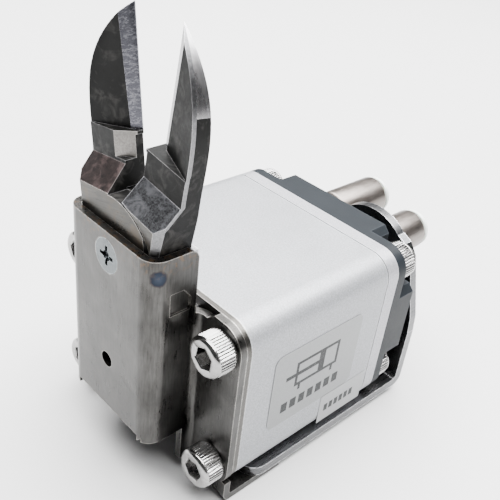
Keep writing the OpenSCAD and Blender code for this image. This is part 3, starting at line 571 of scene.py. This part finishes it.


def blade(name, node, body, side):
    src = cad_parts[node]
    me = src.data.copy()
    me.name = name
    me.materials.clear()
    keys = ["oxide", "ground", "ground_base", "oxide_brown", "oxide_scuffed", "chamfer", "relief", "ground_side"]
    for k in keys:
        me.materials.append(M[k])
    bm = bmesh.new()
    bm.from_mesh(me)
    bmesh.ops.remove_doubles(bm, verts=bm.verts, dist=2e-7)
    bmesh.ops.dissolve_limit(bm, angle_limit=math.radians(0.6), verts=bm.verts, edges=bm.edges)

    def closed_mean(f):
        return to_closed(f.calc_center_median(), side)

    # cut lines on the outer side: end of the reground tip, and the eased band behind the front edge, which carries a
    # painted ridge highlight
    a8 = math.radians(8.5)
    sx = 1.0 if side < 0 else -1.0

    def open_pt(q):
        d = Vector(q) - PIVOT
        wx = d.x * math.cos(a8) - d.z * math.sin(a8)
        wz = d.x * math.sin(a8) + d.z * math.cos(a8)
        return Vector((sx * wx, q[1] + DY, wz + PIVOT.z + DZ)) * MM

    def open_dir(q):
        return Vector((sx * (q[0] * math.cos(a8) - q[2] * math.sin(a8)), q[1], q[0] * math.sin(a8) + q[2] * math.cos(a8)))

    for pt, nn in (((-8.0, -6.2, SIDE_Z), (0.0, SIDE_S, 1.0)),
                   ((-2.0, WEDGE_Y + RIDGE_HIGHLIGHT_BAND, 48.6), (-WEDGE_A, 1.0, -WEDGE_B)),
                   ((-8.0, -8.2 + RIDGE_HIGHLIGHT_BAND, 50.0), (0.0, 1.0, 0.0)),
                   ((-8.0, -8.2 + RIDGE_HIGHLIGHT_BAND, 56.0), (0.0, 1.0, -1.7 / 14.2)),
                   ((-8.0, -12.3 + RIDGE_HIGHLIGHT_BAND, 38.7), (0.0, 1.0, -4.1 / 4.5))):
        outer = [f for f in bm.faces if dir_closed(f.normal, side).x < -0.3 and closed_mean(f).z > 36 and abs(f.normal.y) < 0.2]
        geom = list({e for f in outer for e in f.edges}) + outer + list({v for f in outer for v in f.verts})
        bmesh.ops.bisect_plane(bm, geom=geom, dist=1e-7, plane_co=open_pt(pt), plane_no=open_dir(nn).normalized())

    # the flush-ground part of the back ends above the pivot disc
    rear = [f for f in bm.faces if f.normal.y > 0.95]
    geom = list({e for f in rear for e in f.edges}) + rear + list({v for f in rear for v in f.verts})
    bmesh.ops.bisect_plane(bm, geom=geom, dist=1e-7, plane_co=open_pt((-5.0, -4.1, 40.0)), plane_no=open_dir((0.0, 0.0, 1.0)))

    def front_y(x, z):
        if z < 43.2:
            y = max(-12.3, -12.3 + (z - 38.7) * 4.1 / 4.5)
        else:
            y = -8.2 + max(0.0, 1.7 * (z - 56.0) / 14.2)
        if z > 48.6:
            y = max(y, WEDGE_Y + WEDGE_A * (x + 2.0) + WEDGE_B * (z - 48.6))
        return y

    # faces of the eased band; their lighter chamfer colour is a painted highlight of the lit ridge
    ridge_highlight_band_faces = set()
    for f in bm.faces:
        n = dir_closed(f.normal, side)
        p = closed_mean(f)
        if n.x < -0.3 and abs(n.y) < 0.2 and p.z > 38.9 and p.y - front_y(p.x, p.z) < RIDGE_HIGHLIGHT_BAND:
            ridge_highlight_band_faces.add(f)
    for f in bm.faces:
        p = closed_mean(f)
        n = dir_closed(f.normal, side)
        k = 0
        if f in ridge_highlight_band_faces:
            k = 5
        elif p.z > 48.7 and n.y < -0.3 and n.x > 0.35 and abs(n.z) < 0.4:
            k = 1                                           # ground strip beside the cutting edge
        elif n.y < -0.95 and p.y < -12.0:
            k = 2                                           # ground face of the pivot part
        elif n.y < -0.4 and n.x < -0.4 and p.y < -8.6:
            k = 5                                           # chamfer of the pivot part
        elif -12.2 < p.y < -8.2 and n.y < -0.4 and n.z > 0.4 and p.z < 44:
            k = 3 if side < 0 else 4                        # shoulder ramp
        elif n.x > 0.3 and n.y < -0.3 and 43 < p.z < 48.7:
            k = 6                                           # ground relief under the ledge
        elif n.x > 0.9 and 46.5 < p.z < 49 and side > 0:
            k = 4
        elif n.y > 0.95 and p.z > 38:
            k = 1                                           # flush-ground back
        elif n.x < -0.3 and p.z > 50 and side > 0:
            # above the slanting line the side is reground
            d = (p - Vector((-8.0, -6.2, SIDE_Z))).dot(Vector((0.0, SIDE_S, 1.0)))
            k = 7 if d > 0 else 0
        f.material_index = k
        f.smooth = abs(n.y) < 0.3 and n.x < -0.05
    bm.to_mesh(me)
    bm.free()
    ob = bpy.data.objects.new(name, me)
    bpy.context.collection.objects.link(ob)
    me.set_sharp_from_angle(angle=math.radians(25))
    bevel(ob, 0.12, 2, 30, dissolve=False)
    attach(ob, body)
    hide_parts(node)
    return ob



blade("nipper_blade_left", "blade_left", "blade_left", -1)
blade("nipper_blade_right", "blade_right", "blade_right", 1)

# ------------------------------------------------------------------ CAD nodes that show as they are
LOOK = {
    "head_housing": ("sheet", "stainless_sheet", 0.28), "front_plate": ("sheet_flat", "stainless_sheet", 0.2),
    "pivot_plate": ("inner", "steel", 0.2), "pivot_plate_screws": ("inner", "steel", 0),
    "pivot_pin": ("inner", "steel", 0), "pivot_screw": ("zinc", "screw_steel", 0.08),
    "cam_pin_left": ("inner", "steel", 0), "cam_pin_right": ("inner", "steel", 0),
    "cam_plate": ("inner", "steel", 0.2), "cam_cross_pin": ("inner", "steel", 0),
    "piston_rod": ("inner", "steel", 0), "rod_bush": ("bronze", "bronze", 0), "rod_seal": ("rubber", "rubber", 0),
    "piston": ("alu_light", "body_aluminium", 0.2), "piston_seals": ("rubber", "rubber", 0),
    "piston_wear_ring": ("collar", "collar_plastic", 0), "piston_nut": ("inner", "steel", 0),
    "front_bumper": ("rubber", "rubber", 0), "rear_bumper": ("rubber", "rubber", 0),
    "cylinder_body": ("alu", "body_aluminium", 0.3), "end_gasket": ("gasket", "rubber", 0),
    "rear_head": ("alu_light", "body_aluminium", 0.25), "head_o_ring": ("rubber", "rubber", 0),
    "rear_cover": ("cover", "cover_paint", 0.35), "port_gaskets": ("collar", "collar_plastic", 0),
    "tube_seals": ("rubber", "rubber", 0), "grip_rings": ("inner", "steel", 0),
    "rear_bracket": ("bracket", "stainless_sheet", 0.3), "bracket_screws": ("screw", "screw_steel", 0.08),
    "label_plate": ("label", "label_film", 0.04), "label_tag": ("tag", "label_film", 0.03),
}
for n, (mk, sl, w) in LOOK.items():
    ob = give(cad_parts[n], M[mk])
    if w:
        bevel(ob, w, 3 if w >= 0.25 else 2)

# ------------------------------------------------------------------ stage, light, camera
floor_me = bpy.data.meshes.new("floor")
R = 3.0
floor_me.from_pydata([(-R, -R, 0), (R, -R, 0), (R, R, 0), (-R, R, 0)], [], [(0, 1, 2, 3)])
floor = bpy.data.objects.new("floor", floor_me)
bpy.context.collection.objects.link(floor)
floor.location = (0, 0, cad_lo[2] - 0.0002)
fm = Mat("floor_paper")
fm.set(color=fm.mix(fm.noise(fm.coord(), 0.02, 3.0), (0.50, 0.50, 0.50), (0.52, 0.52, 0.52)), rough=0.85)
floor_me.materials.append(fm.m)

world = bpy.data.worlds.new("studio")
bpy.context.scene.world = world
world.use_nodes = True
wt = world.node_tree
wt.nodes.clear()
wo = wt.nodes.new("ShaderNodeOutputWorld")
bg = wt.nodes.new("ShaderNodeBackground")
wt.links.new(bg.outputs[0], wo.inputs[0])
bg.inputs["Strength"].default_value = 0.14
wc = wt.nodes.new("ShaderNodeTexCoord")
sp = wt.nodes.new("ShaderNodeSeparateXYZ")
wr = wt.nodes.new("ShaderNodeValToRGB")
wm = wt.nodes.new("ShaderNodeMapRange")
wm.inputs["From Min"].default_value, wm.inputs["From Max"].default_value = -1.0, 1.0
wt.links.new(wc.outputs["Generated"], sp.inputs[0])
wt.links.new(sp.outputs["Z"], wm.inputs["Value"])
wt.links.new(wm.outputs[0], wr.inputs["Fac"])
e = wr.color_ramp.elements
e[0].position, e[0].color = 0.0, (0.75, 0.75, 0.76, 1)
e[1].position, e[1].color = 1.0, (1.05, 1.06, 1.10, 1)
for p, c in ((0.45, 0.62), (0.56, 0.50), (0.72, 0.85)):
    q = e.new(p)
    q.color = (c, c, c * 1.02, 1)
wt.links.new(wr.outputs[0], bg.inputs["Color"])


def area(name, loc, target, size, power, color=(1, 1, 1)):
    d = bpy.data.lights.new(name, "AREA")
    d.shape = "RECTANGLE"
    d.size, d.size_y = size
    d.energy = power
    d.color = color
    o = bpy.data.objects.new(name, d)
    o.location = loc
    o.rotation_euler = (Vector(target) - Vector(loc)).to_track_quat("-Z", "Y").to_euler()
    bpy.context.collection.objects.link(o)


mid = (0, 0, 0.03)
area("key_top", (-0.08, 0.16, 0.85), mid, (1.3, 1.1), 112.0)
area("left_fill", (-0.7, -0.35, 0.35), mid, (0.5, 0.6), 0.45, (1.0, 0.99, 0.97))
area("right_strip", (0.75, 0.05, 0.55), mid, (0.25, 0.7), 0.5)

# camera matched to the reference view
f_px, az, el, roll = 719.65, math.radians(43.72), math.radians(32.37), math.radians(6.99)
t = Vector((-18.4, -19.7, -152.53))
back = Vector((math.sin(az) * math.cos(el), -math.cos(az) * math.cos(el), math.sin(el)))
right = Vector((math.cos(az), math.sin(az), 0))
up = back.cross(right)
r2 = math.cos(roll) * right + math.sin(roll) * up
u2 = -math.sin(roll) * right + math.cos(roll) * up
Rm = Matrix((r2, u2, back))
O = -(Rm.transposed() @ t)
cam_d = bpy.data.cameras.new("camera")
cam_d.sensor_width = 36.0
cam_d.lens = f_px / 500.0 * 36.0
cam_d.clip_start, cam_d.clip_end = 0.005, 20.0
cam = bpy.data.objects.new("camera", cam_d)
cam.matrix_world = Matrix.Translation(Vector((O.x, O.y + DY, O.z + DZ)) * MM) @ Rm.transposed().to_4x4()
bpy.context.collection.objects.link(cam)
bpy.context.scene.camera = cam
